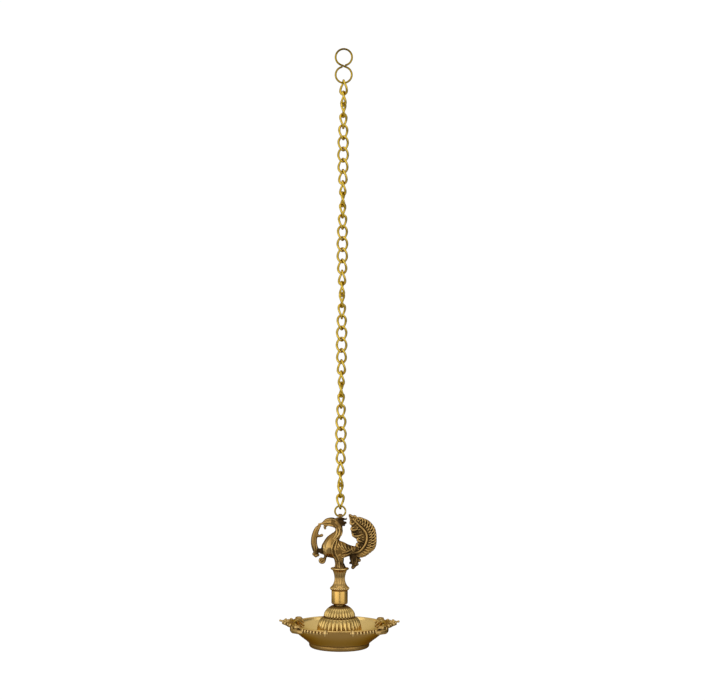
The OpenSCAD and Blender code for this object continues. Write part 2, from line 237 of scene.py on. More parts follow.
def plate(outline, half):
    """A plate with a smooth outline of x and z points, upright in the plane of the bird."""
    deselect()
    bpy.ops.curve.primitive_bezier_curve_add(rotation=(math.radians(90), 0, 0))
    shape = bpy.context.object.data
    shape.dimensions = "2D"
    shape.fill_mode = "BOTH"
    shape.extrude = half - PLATE_EDGE
    shape.bevel_depth = PLATE_EDGE
    shape.resolution_u = 4
    spline = shape.splines[0]
    spline.bezier_points.add(len(outline) - 2)
    spline.use_cyclic_u = True
    for point, (x, z) in zip(spline.bezier_points, outline):
        point.handle_left_type = "AUTO"
        point.handle_right_type = "AUTO"
        point.co = (x, z, 0)
        point.radius = 1
    bpy.ops.object.convert(target="MESH")
    apply_place()
    return bpy.context.object


def shifted(piece, place, turn=0.0, tilt=0.0):
    """Tilts a piece about Y, turns it about the axis and moves it."""
    pick(piece)
    piece.rotation_euler = (0, tilt, turn)
    piece.location = place
    apply_place()
    return piece


def along_line(line, share):
    """The point at a share of the length of a line of points."""
    points = [Vector(point) for point in line]
    lengths = [(b - a).length for a, b in zip(points, points[1:])]
    left = share * sum(lengths)
    for a, b, length in zip(points, points[1:], lengths):
        if left <= length:
            return a.lerp(b, left / length)
        left -= length
    return points[-1]


BEAD_RINGS = 8


def bead(place, radius, stretch=1.0):
    """A small cast bead, stretched upright where it isn't round."""
    deselect()
    bpy.ops.mesh.primitive_uv_sphere_add(segments=2 * BEAD_RINGS, ring_count=BEAD_RINGS, radius=radius)
    piece = bpy.context.object
    piece.scale = (1, 1, stretch)
    piece.location = place
    apply_place()
    return piece


# Finishes: all measures in metres
class Signal:
    """A socket whose value can be used in sums."""

    def __init__(self, bench, socket):
        self.bench = bench
        self.socket = socket

    def sum(self, operation, first, second, clamp=False):
        settings = {"operation": operation, "use_clamp": clamp}
        return self.bench.node("ShaderNodeMath", settings, {0: first, 1: second})

    def __add__(self, other):
        return self.sum("ADD", self, other)

    def __radd__(self, other):
        return self.sum("ADD", other, self)

    def __sub__(self, other):
        return self.sum("SUBTRACT", self, other)

    def __rsub__(self, other):
        return self.sum("SUBTRACT", other, self)

    def __mul__(self, other):
        return self.sum("MULTIPLY", self, other)

    def __rmul__(self, other):
        return self.sum("MULTIPLY", other, self)

    def limited(self):
        return self.sum("ADD", self, 0.0, True)

    def or_more(self, other):
        return self.sum("MAXIMUM", self, other)


class Bench:
    """A node tree to make a finish on."""

    def __init__(self, tree):
        self.tree = tree
        tree.nodes.clear()

    def node(self, kind, settings=None, sockets=None, out=0):
        made = self.tree.nodes.new(kind)
        for name, value in (settings or {}).items():
            setattr(made, name, value)
        for name, value in (sockets or {}).items():
            socket = made.inputs[name]
            if isinstance(value, Signal):
                self.tree.links.new(value.socket, socket)
            else:
                socket.default_value = value
        if len(made.outputs) == 0:
            return made
        return Signal(self, made.outputs[out])

    def blend(self, share, first, second):
        settings = {"data_type": "RGBA"}
        return self.node("ShaderNodeMix", settings, {0: share, 6: first, 7: second}, out=2)

    def noise(self, place, scale, detail):
        sockets = {"Vector": place, "Scale": scale, "Detail": detail}
        return self.node("ShaderNodeTexNoise", None, sockets)


def stepped(bench, value, low, high, least, most):
    """Goes smoothly from least to most while a value goes from low to high."""
    sockets = {"Value": value, "From Min": low, "From Max": high, "To Min": least, "To Max": most}
    return bench.node("ShaderNodeMapRange", {"interpolation_type": "SMOOTHSTEP"}, sockets)


SPOT_CORE = 0.4


def marked(bench, place, value, spots):
    """Adds spots to a value, each by its middle, reach and strength."""
    for middle, reach, strength in spots:
        away = bench.node("ShaderNodeVectorMath", {"operation": "DISTANCE"}, {0: place, 1: middle}, out=1)
        value = value + stepped(bench, away, SPOT_CORE * reach, reach, strength, 0.0)
    return value


EDGE_TINT = (0.3, 0.22, 0.12, 1)
CLOUD_SCALE = 90.0
SPECK_SCALE = 520.0
LATHE_LINE_SCALE = 2400.0
FLAT_POINT = 0.5
OPEN_FACE = 0.86


def brass(name, metal, worn_and_highlight, patina, rough, hollow=0.003, deep=2.6, darkening=1.0, edge=9.0, grain=0.05,
          cloudy=0.5, lines=0.0, rim=EDGE_TINT, dark_spots=(), painted_highlights=(), shade_bands=()):
    """Brass that is worn bright on its ridges, dark with patina in its hollows, a little cloudy and finely
    grained, with painted shade at dark spots and height bands and painted highlights at bright spots.
    """
    material = bpy.data.materials.new(name)
    material.use_nodes = True
    bench = Bench(material.node_tree)
    place = bench.node("ShaderNodeTexCoord", out=3)
    point = bench.node("ShaderNodeNewGeometry", out=7)
    openness = {"samples": 12, "only_local": True}
    opening = bench.node("ShaderNodeAmbientOcclusion", openness, {"Distance": hollow}, out=1)
    clouds = bench.noise(place, CLOUD_SCALE, 3.0)
    specks = bench.noise(place, SPECK_SCALE, 2.0)
    ridge = ((point - FLAT_POINT) * edge).limited()
    groove = ((FLAT_POINT - point) * edge).limited()
    # Dark patina in the hollows and grooves, and a cloudy tone; the painted shade is added to this below
    patina_and_shade = ((OPEN_FACE - opening) * deep).limited() + groove * 0.8 + (clouds - 0.55) * cloudy
    # Painted shade at dark spots
    patina_and_shade = marked(bench, place, patina_and_shade, dark_spots)
    height = bench.node("ShaderNodeSeparateXYZ", None, {"Vector": place}, out=2)
    # Painted shade in bands by height, some of which lighten instead
    for low, high, least, most in shade_bands:
        patina_and_shade = patina_and_shade + stepped(bench, height, low, high, least, most)
    patina_and_shade = patina_and_shade.limited() * darkening
    # Worn bright ridges and a cloudy tone, with painted highlights at spots
    bright = marked(bench, place, ridge * 1.1 + (clouds - 0.42) * cloudy, painted_highlights)
    base = bench.blend(bright.limited(), metal, worn_and_highlight)
    colour = bench.blend(patina_and_shade, base, patina)
    gloss = (rough + (clouds - 0.5) * 0.12 + patina_and_shade * 0.25 - ridge * 0.06).limited()
    relief = specks * grain
    if lines > 0:
        rings = bench.node("ShaderNodeTexNoise", {"noise_dimensions": "1D"}, {
            "W": height,
            "Scale": LATHE_LINE_SCALE,
            "Detail": 2.0,
        })
        relief = relief + rings * lines
    bump = bench.node("ShaderNodeBump", None, {"Strength": 0.35, "Distance": 0.0003, "Height": relief})
    shader = bench.node("ShaderNodeBsdfPrincipled", None, {
        "Base Color": colour,
        "Metallic": 1.0 - patina_and_shade * 0.15,
        "Roughness": gloss,
        "Normal": bump,
        "Specular Tint": rim,
    })
    bench.node("ShaderNodeOutputMaterial", None, {"Surface": shader})
    return material


DARK_BROWN = (0.042, 0.023, 0.008, 1)
# Darker spots painted on the hook: a darker top to its loop, and painted shade where its wire crosses
# itself
HOOK_DARK_SPOTS = [((0, 0, 0.001), 0.009, 0.9), ((0, 0, -0.0123), 0.006, 0.7)]
# Darker spots painted on the bird as painted shade: at the crest and the head, in the joints of the wing,
# legs, tail and leaf, and over the vine
BIRD_PAINTED_SHADE = [
    ((0.0015, 0, -0.3652), 0.0065, 1.0),
    ((-0.0065, 0, -0.3635), 0.004, 1.0),
    ((0.0105, 0, -0.391), 0.0065, 1.0),
    ((0.005, 0, -0.395), 0.005, 1.0),
    ((-0.0155, 0, -0.3885), 0.0045, 1.0),
    ((0.0125, 0, -0.374), 0.0045, 0.8),
    ((0.003, 0, -0.371), 0.004, 1.0),
    ((0.0045, 0, -0.399), 0.007, 1.0),
    ((0.0165, 0, -0.382), 0.004, 0.8),
    ((0.006, 0, -0.3865), 0.0055, 1.0),
    ((-0.0195, 0, -0.383), 0.015, 0.32),
    ((0.0115, 0, -0.398), 0.007, 0.6),
    ((-0.0025, 0, -0.398), 0.008, 0.3),
    ((-0.0085, 0, -0.394), 0.006, 0.7),
]
# Painted highlights on the bird, by middle, reach and strength: on the breast, the head and the neck
BIRD_PAINTED_HIGHLIGHTS = [
    ((-0.0105, 0, -0.3855), 0.0078, 0.65),
    ((-0.008, 0, -0.366), 0.005, 0.15),
    ((-0.0015, 0, -0.376), 0.005, 0.55),
]
# Painted shade by height: heights between which the darkening goes from its first share to its second
# On the dome: painted shade in a ring at the top under the sleeve and on the lower tier's shoulder, and the
# upper tier painted lighter
DOME_SHADE_BANDS = [(-0.4328, -0.4312, 0.0, 1.4), (-0.445, -0.4405, 0.0, 0.45), (-0.4395, -0.439, 0.0, -0.3)]
# On the dish: painted shade, darker towards the foot's bottom
FOOT_SHADE_BANDS = [(-0.463, -0.4575, 1.1, 0.0)]

# Each finish has its metal, its worn metal, which also colours the painted highlights, its patina and its
# roughness first
chain_finish = brass(
    "chain_brass", (0.52, 0.35, 0.035, 1), (0.70, 0.50, 0.085, 1), (0.11, 0.062, 0.006, 1), 0.2,
    hollow=0.002, darkening=0.9, rim=(0.25, 0.17, 0.04, 1))
hook_finish = brass(
    "hook_brass", (0.30, 0.195, 0.012, 1), (0.43, 0.30, 0.025, 1), (0.09, 0.05, 0.004, 1), 0.24,
    hollow=0.002, darkening=0.9, rim=(0.2, 0.13, 0.01, 1), dark_spots=HOOK_DARK_SPOTS)
cast_finish = brass(
    "cast_brass", (0.255, 0.14, 0.036, 1), (0.71, 0.47, 0.165, 1), DARK_BROWN, 0.2,
    deep=4.2, edge=12.0, grain=0.03, cloudy=0.25, dark_spots=BIRD_PAINTED_SHADE, painted_highlights=BIRD_PAINTED_HIGHLIGHTS)
stem_finish = brass(
    "stem_brass", (0.43, 0.265, 0.085, 1), (0.62, 0.42, 0.16, 1), DARK_BROWN, 0.2,
    hollow=0.0015, darkening=0.7, cloudy=0.25)
rim_finish = brass(
    "rim_brass", (0.39, 0.245, 0.08, 1), (0.70, 0.49, 0.20, 1), DARK_BROWN, 0.32,
    hollow=0.002, deep=3.6, cloudy=0.3)
dome_finish = brass(
    "dome_brass", (0.50, 0.33, 0.10, 1), (0.82, 0.61, 0.25, 1), (0.09, 0.046, 0.012, 1), 0.15,
    hollow=0.002, deep=3.4, darkening=0.85, grain=0.03, cloudy=0.3, shade_bands=DOME_SHADE_BANDS)
satin_finish = brass(
    "satin_brass", (0.70, 0.49, 0.18, 1), (0.80, 0.59, 0.24, 1), (0.2, 0.11, 0.04, 1), 0.24,
    darkening=0.5)
dull_finish = brass(
    "dull_brass", (0.36, 0.21, 0.06, 1), (0.47, 0.29, 0.09, 1), (0.11, 0.056, 0.015, 1), 0.34,
    darkening=0.6, lines=0.5, shade_bands=FOOT_SHADE_BANDS)
sleeve_finish = brass(
    "sleeve_brass", (0.52, 0.31, 0.08, 1), (0.61, 0.385, 0.115, 1), (0.16, 0.085, 0.02, 1), 0.3,
    hollow=0.002, darkening=0.6, grain=0.02, cloudy=0.3, rim=(0.6, 0.42, 0.22, 1))


# Hook: two loops of one wire with a straight run between them
HOOK_SIDES = 20
HOOK_STEPS = 44


def make_hook():
    upper_end = math.acos(1 - HOOK_END_ABOVE_RUN / HOOK_UPPER_R)
    lower_end = math.acos(1 - HOOK_END_ABOVE_RUN / HOOK_LOWER_R)
    start = math.radians(270) - HOOK_SLOPE + upper_end
    out = Vector((math.cos(start), 0, math.sin(start)))
    wire = wire_section(HOOK_UPPER + HOOK_UPPER_R * out, (-out.z, 0, out.x), HOOK_WIRE_R, HOOK_SIDES)
    bpy.ops.mesh.spin(steps=HOOK_STEPS, angle=math.tau - upper_end, center=HOOK_UPPER, axis=(0, 1, 0))
    run = (HOOK_UPPER_R + HOOK_LOWER_R) * math.tan(HOOK_SLOPE)
    along = Vector((math.cos(HOOK_SLOPE), 0, -math.sin(HOOK_SLOPE)))
    bpy.ops.mesh.extrude_region_move(TRANSFORM_OT_translate={"value": along * run})
    bpy.ops.mesh.spin(steps=HOOK_STEPS, angle=math.tau - lower_end, center=HOOK_LOWER, axis=(0, -1, 0))
    leave()
    close_up()
    keep(wire, "hook_wire", "hook", hook_finish, ["hanging_hook"])


# Chain: one link bent to an oval and twisted, then copied down the chain
def make_chain():
    deselect()
    bpy.ops.curve.primitive_bezier_circle_add(radius=1)
    oval = bpy.context.object
    oval.data.dimensions = "3D"
    oval.data.resolution_u = 14
    oval.rotation_euler = (math.radians(90), 0, 0)
    oval.scale = (LINK_HALF_WIDTH, LINK_HALF_LENGTH, 1)
    apply_place()
    for point in oval.data.splines[0].bezier_points:
        point.radius = 1
    oval.data.bevel_depth = LINK_WIRE_R
    oval.data.bevel_resolution = 4
    bpy.ops.object.convert(target="MESH")
    link = bpy.context.object
    close_up()
    full = math.radians(LINK_TWIST_DEGREES) * (LINK_HALF_LENGTH + LINK_WIRE_R) / LINK_HALF_LENGTH
    modified(link, "SIMPLE_DEFORM", {"deform_method": "TWIST", "deform_axis": "Z", "angle": -full})
    for number in range(1, LINKS + 1):
        twin = copy(link)
        turn = 90 + LINK_TWIST_DEGREES / 2 + (number - 1) * (LINK_TWIST_DEGREES - 90)
        twin.rotation_euler = (0, 0, math.radians(turn))
        twin.location = (0, 0, LINK_FIRST_Z - (number - 1) * LINK_PITCH)
        label = f"{number:02d}"
        node = "chain_link_" + label
        keep(twin, "link_wire_" + label, "link_" + label, chain_finish, [node])
    bpy.data.objects.remove(link)


# Ring: a bent wire whose slit faces +X
RING_SIDES = 18
RING_STEPS = 48


def make_ring():
    middle = Vector((0, 0, RING_Z))
    half = RING_SLIT / RING_R / 2
    out = Vector((math.cos(half), 0, math.sin(half)))
    wire = wire_section(middle + RING_R * out, (-out.z, 0, out.x), RING_WIRE_R, RING_SIDES)
    bpy.ops.mesh.spin(steps=RING_STEPS, angle=math.tau - 2 * half, center=middle, axis=(0, 1, 0))
    leave()
    close_up()
    keep(wire, "ring_wire", "ring", hook_finish, ["lamp_ring"])


# Stem: a fluted waist between two flanges, the lower one beaded
STEM_STEPS = 144
STEM_FLUTES = 18
STEM_FLUTE_DEPTH = 0.4
STEM_FLUTE_START = 1.95
STEM_FLUTE_END = 14.5
STEM_BEADS = 26
STEM_BEADS_REACH = 6.75
STEM_BEADS_DOWN = 16


def make_stem():
    profile = [
        (0.01, 0), (6.6, 0), (7.0, -0.25), (7.15, -0.7), (7.0, -1.15), (6.3, -1.6), (5.7, -1.9),
        (5.5, -2.3), (5.15, -3.2), (4.65, -4.6), (4.3, -6.2), (4.1, -7.8), (4.1, -9), (4.3, -10.4),
        (4.75, -11.8), (5.4, -13.1), (6.1, -14.1), (6.5, -14.6), (6.9, -14.85), (7.1, -15.4), (7.1, -16.6),
        (6.9, -17.1), (6.4, -17.5), (2.5, -17.5), (2.5, -22), (0.01, -22),
    ]
    stem = turned([(reach, FLANGE_Z + up) for reach, up in profile], STEM_STEPS)
    for vertex in stem.data.vertices:
        down = FLANGE_Z - vertex.co.z
        if STEM_FLUTE_START < down < STEM_FLUTE_END:
            turn = math.atan2(vertex.co.y, vertex.co.x)
            fade = min(1, (down - STEM_FLUTE_START) / 1.2, (STEM_FLUTE_END - down) / 1.5)
            reach = math.hypot(vertex.co.x, vertex.co.y)
            flute = 1 - abs(math.cos(STEM_FLUTES / 2 * turn))
            share = 1 - STEM_FLUTE_DEPTH * fade * flute / reach
            vertex.co.x *= share
            vertex.co.y *= share
    beads = []
    for number in range(STEM_BEADS):
        turn = math.tau * number / STEM_BEADS
        x = STEM_BEADS_REACH * math.cos(turn)
        y = STEM_BEADS_REACH * math.sin(turn)
        beads.append(bead((x, y, FLANGE_Z - STEM_BEADS_DOWN), 0.85, 1.2))
    keep(join([stem] + beads), "fluted_stem", "lamp", stem_finish)


# Bird: limbs and a tail plate joined into one casting, with its feathers laid on their surface
BIRD_CORE_VOXEL = 0.35
BIRD_VOXEL = 0.262
QUILL = [
    (9.5, -27.9), (14.7, -26.6), (18.2, -23.2), (20.3, -19), (20.7, -14.8), (19.8, -11.8), (17.2, -8.6),
    (13.4, -5), (9.6, -1.2),
]
TAIL_OUTSIDE = [
    (12.5, -31), (15.5, -31.2), (19.9, -29.9), (23.3, -27.3), (26.7, -24.3), (27.9, -20.8), (28.1, -16.9),
    (27.8, -12.6), (26.9, -8.8), (24.4, -5.2), (22, -2.9), (18.6, -1.4), (15.5, -0.3), (12.5, -0.1),
    (11.2, 1.4), (9.8, 0.6), (7, 2),
]
TAIL_INSIDE = [
    (5, -25), (9.5, -24.3), (13.6, -20.8), (14.8, -18.8), (13.2, -17), (11.2, -15.8), (8.9, -12.2),
    (9.2, -7.9), (8.2, -4.5),
]
TAIL_ROOT = [(7.3, -0.6)]


def quill_stations(half, late, tip):
    """The quill as stations of x, z and half width, with the last two narrower."""
    widths = [half] * (len(QUILL) - 2) + [late, tip]
    return [(x, z, width) for (x, z), width in zip(QUILL, widths)]


def bird_core():
    """The bird without its feathers."""
    pieces = [
        limb([(-0.9, -9.5, 2.9), (-1.6, -6.8, 3.2), (-3.8, -4.7, 3.7), (-7.3, -4, 3.65),
              (-10.2, -4.1, 2.95), (-12.3, -4.8, 1.9), (-14, -5.3, 0.95), (-17.4, -5.45, 0.4)], 0.88),
        limb([(-1.2, -7.5, 3), (-0.9, -10.8, 2.9), (-2.2, -13.6, 3.3), (-4.2, -16, 4.2),
              (-6.4, -19.2, 5.4), (-7.2, -22.8, 6.5), (-6, -26, 6)], 0.84),
        limb([(-14.4, -23.4, 1.2), (-13.1, -23.5, 4.4), (-10, -24, 7.1), (-4.5, -24.6, 7.6),
              (1, -25.3, 6.4), (6.5, -26, 4.7), (12, -26, 3.3)], 0.68),
        limb([(-9, -17.5, 1.2), (-6, -20, 3.2), (-1, -23.2, 4.2), (4, -26.2, 3.4), (8.8, -28, 1.2)], 1.2),
        limb([(-1.4, -29, 4.6), (-0.6, -33, 3.8), (-0.4, -36, 3.4), (0, -38.2, 4.2),
              (0.1, -40, 5.4)], 0.95),
        limb([(-15.4, -6.4, 1.1), (-17.9, -9.6, 2.1), (-19.4, -13.6, 2.4), (-20.2, -18, 2.45),
              (-19.9, -22.2, 2.5), (-18.8, -25.6, 2.5), (-18.1, -28.4, 2)], 0.72),
        limb([(-16.5, -25.5, 1.5), (-14.5, -26.6, 2.2), (-12, -27, 2.6)], 0.5),
        limb([(-17.8, -14.6, 1.2), (-15.9, -14.9, 1.1), (-14.6, -14.5, 1.1), (-14.3, -13.4, 0.7)], 1.1),
        limb([(-13.4, -33.75, 0.9), (-13.1, -33.1, 0.9), (-13.7, -32.4, 0.9), (-14.9, -32.5, 0.9),
              (-15.7, -33.7, 0.9), (-15, -35.3, 0.9), (-13, -35.6, 0.9), (-11.7, -34, 0.9),
              (-11.5, -32, 1.1), (-10.5, -29, 1.6)], 1.35),
        limb([(11, -28.5, 3.4), (11.2, -32, 3.9), (11.5, -35, 3), (10.9, -38, 1.9),
              (10.2, -39.6, 0.9)], 0.5),
        limb([(-3, -1.7, 1.8), (1, -1.2, 1.6), (3.2, -1.2, 1.3), (4.4, -1.3, 0.7)], 1.1),
        limb([(-2, -3.6, 2), (1.5, -4, 1.5), (3.8, -4.5, 0.9)], 1.1),
        limb([(-1, -5.6, 1.8), (1.4, -6, 1.3), (2.9, -6.3, 0.7)], 1.1),
        limb([(-10.4, -6, 1.5), (-11.9, -7.8, 1.1), (-11.6, -9.2, 0.8)]),
        limb(quill_stations(1.25, 1.05, 0.8), 1.6),
        plate(TAIL_OUTSIDE + TAIL_ROOT + TAIL_INSIDE[::-1], 1.25),
    ]
    return modified(join(pieces), "REMESH", {"mode": "VOXEL", "voxel_size": BIRD_CORE_VOXEL})


def side_of(core, x, z):
    """How far the bird's side stands out at a place, or nothing where there is no metal."""
    found, place, normal, face = core.ray_cast((x, -40, z), (0, 1, 0))
    return -place.y if found else None


def laid(core, stations, sink):
    """A feather or ridge laid on both sides of the bird, standing proud where its sink is negative."""
    paths = []
    for side in (-1, 1):
        path = []
        depth = 1
        for x, z, half in stations:
            found = side_of(core, x, z)
            depth = depth if found is None else found
            path.append((x, side * (depth - sink), z, half))
        paths.append(path)
    return paths


TAIL_TIPS = 41
CURLED_LEAVES = 5
INNER_RIBS = 12


def tail_barbs(core):
    """The quill, two rows of leaf tips outside it, and leaves and ribs that run inwards from it."""
    paths = laid(core, quill_stations(0.95, 0.8, 0.6), -0.2)
    for number in range(TAIL_TIPS):
        share = number / (TAIL_TIPS - 1)
        outer = 1 - number % 2
        swell = 0.1 * math.sin(2.4 * number)
        root = along_line(QUILL, share * 0.97)
        tip = along_line(TAIL_OUTSIDE, 0.06 + 0.9 * share)
        swept = along_line(TAIL_OUTSIDE, 0.09 + 0.9 * share)
        first = 0.24 + 0.3 * outer
        stations = [
            (*root.lerp(tip, first), 0.4),
            (*root.lerp(tip, first + 0.22), 0.66 + 0.08 * outer + swell),
            (*root.lerp(swept, first + 0.45 + 0.03 * outer), 0.45 + 0.2 * outer),
        ]
        paths += laid(core, stations, -0.1 - 0.35 * outer - swell)
    for number in range(CURLED_LEAVES):
        share = number / (CURLED_LEAVES - 1)
        root = along_line(QUILL, 0.2 + 0.7 * share)
        tip = along_line(TAIL_INSIDE, 0.32 + 0.66 * share)
        side = Vector((root.y - tip.y, tip.x - root.x)).normalized()
        stations = [
            (*root.lerp(tip, 0.4), 0.5),
            (*(root.lerp(tip, 0.75) + 0.6 * side), 1.2),
            (*tip, 1.05),
            (*(tip - 1.3 * side), 0.75),
            (*(root.lerp(tip, 0.75) - 1.5 * side), 0.5),
        ]
        paths += laid(core, stations, -0.3)
    for number in range(INNER_RIBS):
        root = along_line(QUILL, 0.16 + 0.068 * number)
        tip = along_line(TAIL_INSIDE, 0.28 + 0.06 * number)
        paths += laid(core, [(*root.lerp(tip, 0.2), 0.45), (*root.lerp(tip, 0.42), 0.6)], -0.1)
    return paths


FEATHER_SINK = -0.15
SHORT_FEATHERS = 5
# Each fold station has x, z, half width and how far the second fold stands behind the first
FOLD = [
    (-3.2, -17.0, 0.5, 0.875), (-5.0, -19.6, 0.7, 2.25), (-6.2, -23.2, 0.8, 2.5), (-6.0, -27.2, 0.8, 2.5),
    (-4.2, -30.8, 0.7, 2.375), (-2.4, -34, 0.5, 1.75),
]
LONG_FEATHERS = [
    [(2.2, -27.4, 0.5), (5.6, -26.4, 0.75), (10.2, -23.6, 0.6)],
    [(2.0, -29.7, 0.5), (5.9, -28.7, 0.75), (11, -25.9, 0.6)],
    [(1.6, -31.2, 0.5), (5.4, -30.0, 0.75), (10.0, -27.6, 0.6)],
]


def wing_feathers(core):
    """Folds that fall from the shoulder, short feathers behind them and long ones over the tail's root."""
    feathers = [[(x + behind * number, z, half) for x, z, half, behind in FOLD] for number in range(2)]
    for number in range(SHORT_FEATHERS):
        x = -1.2 + 2.5 * number
        z = -18.8 - 0.9 * number
        feathers.append([(x, z, 0.5), (x + 0.3, z - 2.2, 0.75), (x + 1.9, z - 4.6, 0.5)])
    paths = []
    for stations in feathers + LONG_FEATHERS:
        paths += laid(core, stations, FEATHER_SINK)
    return paths


def face_and_vine(core):
    """Ridges on the head, the neck, the legs, the vine and the leaf under the tail."""
    lines = [
        [(-12.6, -3.6, 0.4), (-9.8, -2.0, 0.7), (-6.4, -1.7, 0.8), (-3, -2.6, 0.6)],
        [(-13.2, -6.0, 0.4), (-10, -6.3, 0.6), (-6.8, -6.4, 0.8), (-4.2, -8, 0.6)],
        [(-3.2, -8.6, 0.5), (-2.6, -11.5, 0.8), (-3.8, -14.6, 0.8), (-5.4, -16.8, 0.5)],
        [(-0.8, -8.2, 0.5), (-0.3, -11.5, 0.9), (-1.6, -14.4, 0.9), (-4.2, -17, 0.6)],
        [(1.2, -8.4, 0.5), (1.6, -11.5, 0.6), (0.6, -14.6, 0.6)],
        [(-3.6, -31.4, 0.5), (-2.8, -35, 0.8), (-3.6, -38.8, 0.6)],
        [(2.0, -31.8, 0.5), (1.7, -35, 0.8), (3.2, -38.8, 0.6)],
        [(-0.9, -32, 0.5), (-0.5, -35.6, 0.7), (-0.3, -39, 0.6)],
        [(-20.2, -20.8, 0.4), (-19.9, -24.4, 0.7), (-19.5, -28.4, 0.6)],
        [(-18.4, -20.8, 0.4), (-18.0, -24.4, 0.7), (-17.6, -28.2, 0.6)],
        [(9.6, -29.4, 0.5), (9.4, -33.4, 0.9), (10.2, -38, 0.6)],
        [(12.2, -29.8, 0.5), (13.0, -33, 0.9), (12, -37, 0.6)],
    ]
    paths = []
    for line in lines:
        paths += laid(core, line, -0.05)
    return paths


BIRD_KNOBS = [
    (4.3, -1.3, 1.15), (4, -4.5, 1.1), (3, -6.3, 0.95), (-20, -28.9, 1.5), (-18.6, -30, 1.6),
    (-17.1, -29.6, 1.3), (-14.2, -14.4, 1.25), (0, -20.2, 1.3), (14.9, -33.4, 1.5), (13.4, -36.6, 1.3),
    (10.2, -39, 1.5), (8.2, -35.6, 1.1), (-13.8, -33.7, 1.1), (-11.6, -9, 0.95),
]
# The eyes and the shoulder knobs, on both sides, by x, z, radius and how deep they sink in
SIDE_KNOBS = [(-9.4, -4.3, 0.75, 0.15), (-4.4, -17.3, 0.9, 0.2)]
CROWN_EYE = [(1.5, -1.6), (2.1, -1.6), (2.4, -1.2), (2.4, 1.2), (2.1, 1.6), (1.5, 1.6), (1.5, -1.6)]
CROWN_EYE_STEPS = 32
CROWN_BORE_R = 1.6
CROWN_BORE_LENGTH = 9.6


def make_bird():
    core = bird_core()
    ridges = cast(tail_barbs(core) + wing_feathers(core) + face_and_vine(core), around=2, along=4)
    places = []
    for side in (-1, 1):
        for x, z, radius, sink in SIDE_KNOBS:
            places.append((x, side * (side_of(core, x, z) - sink), z, radius))
    for x, z, radius in BIRD_KNOBS:
        places.append((x, 0, z, radius))
    beads = [bead(place[:3], place[3]) for place in places]
    crown_eye = turned(CROWN_EYE, CROWN_EYE_STEPS)
    shifted(crown_eye, (0, 0, 0), tilt=math.radians(90))
    bird = blended(join([core, ridges, crown_eye] + beads), BIRD_VOXEL, 1)
    deselect()
    bpy.ops.mesh.primitive_cylinder_add(
        vertices=CROWN_EYE_STEPS, radius=CROWN_BORE_R, depth=CROWN_BORE_LENGTH,
        rotation=(0, math.radians(90), 0))
    bore = bpy.context.object
    modified(bird, "BOOLEAN", {"operation": "DIFFERENCE", "object": bore, "solver": "EXACT"})
    bpy.data.objects.remove(bore)
    shifted(bird, (0, 0, EYE_Z))
    keep(bird, "bird", "lamp", cast_finish, ["bird_finial"])


# Sleeve: a turned and polished coupling
SLEEVE_STEPS = 96
SLEEVE_CORNER = 1.1


def make_sleeve():
    middle = (5.25, SLEEVE_BOTTOM + SLEEVE_CORNER)
    corner = rounding(middle, SLEEVE_CORNER, SLEEVE_CORNER, range(-90, 1, 15))
    profile = [(BORE_R, SLEEVE_BOTTOM)] + corner
    profile += [(6.35, SLEEVE_TOP - 0.5), (6.2, SLEEVE_TOP - 0.15), (5.9, SLEEVE_TOP), (BORE_R, SLEEVE_TOP)]
    profile.append(profile[0])
    sleeve = turned(profile, SLEEVE_STEPS)
    keep(sleeve, "sleeve", "lamp", sleeve_finish, ["coupling_sleeve"])


# Dome: two tiers of ribs under a short neck
DOME_STEPS = 420
DOME_FLUTES = 30
UPPER_TIER_FOOT = 18.2
LOWER_TIER_TOP = 17.87


def make_dome():
    neck = [(3.6, 27.9), (3.6, 26.4), (3.75, 25.95), (4.1, 25.85), (4.6, 26.15), (5.1, 26.55)]
    upper = []
    for step in range(11):
        turn = math.radians(9 * step)
        upper.append((5.6 + 6.6 * math.sin(turn) ** 1.7, 18.9 + 7.9 * math.cos(turn)))
    lower = [
        (12.1, 18.4), (11.7, 18.05), (12.0, 17.9), (12.7, 17.85), (13.5, 17.6), (14.2, 17.1), (14.8, 16.4),
        (15.5, 15.2), (16.2, 13.4), (16.7, 11.7), (17.2, 9.3), (17.5, 7.0), (17.7, 4), (17.8, 0),
    ]
    inside = [(15.2, 0), (15.2, 7.2), (9.5, 16), (6.5, 23.5), (BORE_R, 23.5), (BORE_R, 27.9), (3.6, 27.9)]
    profile = neck + upper + lower + inside
    dome = turned([(reach, DISH_FLOOR_Z + up) for reach, up in profile], DOME_STEPS)
    for vertex in dome.data.vertices:
        reach = math.hypot(vertex.co.x, vertex.co.y)
        up = vertex.co.z - DISH_FLOOR_Z
        turn = math.atan2(vertex.co.y, vertex.co.x)
        flute = 0.5 - 0.5 * math.cos(DOME_FLUTES * turn)
        depth = 0
        if up > UPPER_TIER_FOOT and reach > 5.0:
            down = max(0, min(1, (reach - 7.2) / 4.6))
            flute = flute ** (1.7 - 0.5 * down)
            depth = 0.85 * down
        outside = reach > 15.5 or up > 15
        if up < LOWER_TIER_TOP and reach > 12.5 and outside:
            down = min(1, (LOWER_TIER_TOP - up) / 7)
            flute = flute ** (1.9 - 0.9 * down)
            depth = 0.3 * min(1, (LOWER_TIER_TOP - up) / 0.8) + 1.1 * down
        share = 1 - depth * flute / reach
        vertex.co.x *= share
        vertex.co.y *= share
        if 17.95 < up < 20 and reach > 11:
            vertex.co.z += 0.5 * flute - 0.1
    keep(dome, "ribbed_dome", "lamp", dome_finish, ["lotus_dome"])


